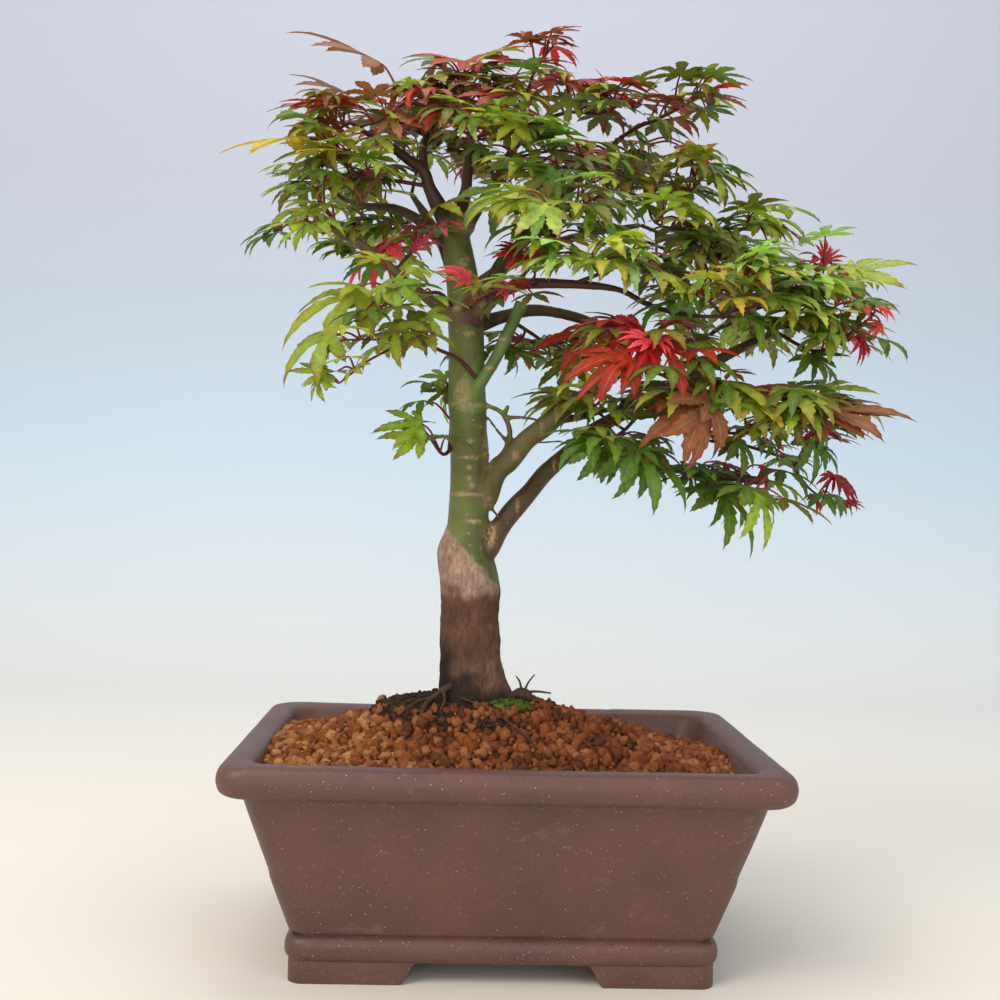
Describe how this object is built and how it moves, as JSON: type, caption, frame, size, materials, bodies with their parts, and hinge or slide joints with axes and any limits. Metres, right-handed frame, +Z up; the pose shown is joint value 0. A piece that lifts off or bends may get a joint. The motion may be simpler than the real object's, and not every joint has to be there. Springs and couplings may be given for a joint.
{
  "type": "potted bonsai tree",
  "caption": "Maple bonsai with a straight trunk and a wide leafy crown, planted in a rectangular footed stoneware pot.",
  "frame": {"origin": "bottom centre of the bounding box, on the surface that the pot stands on", "axes": "+X to the right along the long side of the pot, +Y to the back, +Z up along the trunk"},
  "size_m": [0.3372, 0.195, 0.4396],
  "materials": {
    "stoneware": "unglazed fired clay, matt",
    "plastic_mesh": "moulded",
    "wire": "drawn",
    "grit": "crushed pumice",
    "akadama": "baked clay granules, matt",
    "peat": "dark fibrous old soil",
    "moss": "living moss",
    "root": "root bark",
    "bark": "smooth green bark over grey-brown old bark",
    "limb_bark": "smooth olive bark",
    "leaf_green": "thin living leaf, satin",
    "leaf_lime": "thin living leaf, satin",
    "leaf_pale": "thin living leaf, satin",
    "leaf_yellow": "thin living leaf, satin",
    "leaf_olive": "thin living leaf, satin",
    "leaf_bronze": "thin living leaf, satin",
    "leaf_orange": "thin living leaf, satin",
    "leaf_red": "thin living leaf, satin",
    "leaf_crimson": "thin living leaf, satin",
    "leaf_pink": "thin living leaf, satin"
  },
  "bodies": {
    "root": {"pot_body": "stoneware", "drain_mesh_left": "plastic_mesh", "mesh_wire_left": "wire", "drain_mesh_right": "plastic_mesh", "mesh_wire_right": "wire", "drainage_layer": "grit", "soil_bed": "akadama", "root_ball": "peat", "moss_patch": "moss", "root_left": "root", "root_right": "root", "trunk": "bark", "limb_low_right": "limb_bark", "limb_middle_right": "limb_bark", "limb_green_stub": "limb_bark", "limb_upper_right": "limb_bark", "limb_level_right": "limb_bark", "limb_long_right": "limb_bark", "limb_left": "limb_bark", "limb_upper_left": "limb_bark", "limb_top_left": "limb_bark", "limb_top_centre": "limb_bark", "limb_top_right": "limb_bark", "limb_back_left": "limb_bark", "limb_back_right": "limb_bark", "shoot_top_left_high": "leaf_bronze", "shoot_top_left_outer": "leaf_orange", "shoot_left_far": "leaf_yellow", "shoot_left_upper": "leaf_green", "shoot_left_tip": "leaf_lime", "shoot_left_red": "leaf_pink", "shoot_left_hanging": "leaf_lime", "shoot_crossing": "leaf_lime", "shoot_trunk_low_left": "leaf_lime", "shoot_top_centre": "leaf_orange", "shoot_top_front": "leaf_lime", "shoot_top_red": "leaf_orange", "shoot_top_right_high": "leaf_olive", "shoot_top_right_red": "leaf_red", "shoot_right_crown": "leaf_green", "shoot_centre_front": "leaf_lime", "shoot_centre_high": "leaf_green", "shoot_trunk_front": "leaf_red", "shoot_centre_right": "leaf_pale", "shoot_centre_low": "leaf_green", "shoot_right_upper": "leaf_green", "shoot_right_red": "leaf_crimson", "shoot_right_far": "leaf_crimson", "shoot_right_green": "leaf_green", "shoot_long_right": "leaf_lime", "shoot_crimson": "leaf_crimson", "shoot_low_green": "leaf_green", "shoot_bronze": "leaf_bronze", "shoot_bronze_right": "leaf_bronze", "shoot_cut_branch": "leaf_green", "shoot_low_red": "leaf_lime", "shoot_back_top": "leaf_green", "shoot_back_left": "leaf_green", "shoot_back_centre": "leaf_olive", "shoot_back_right": "leaf_green"}
  },
  "joints": []
}
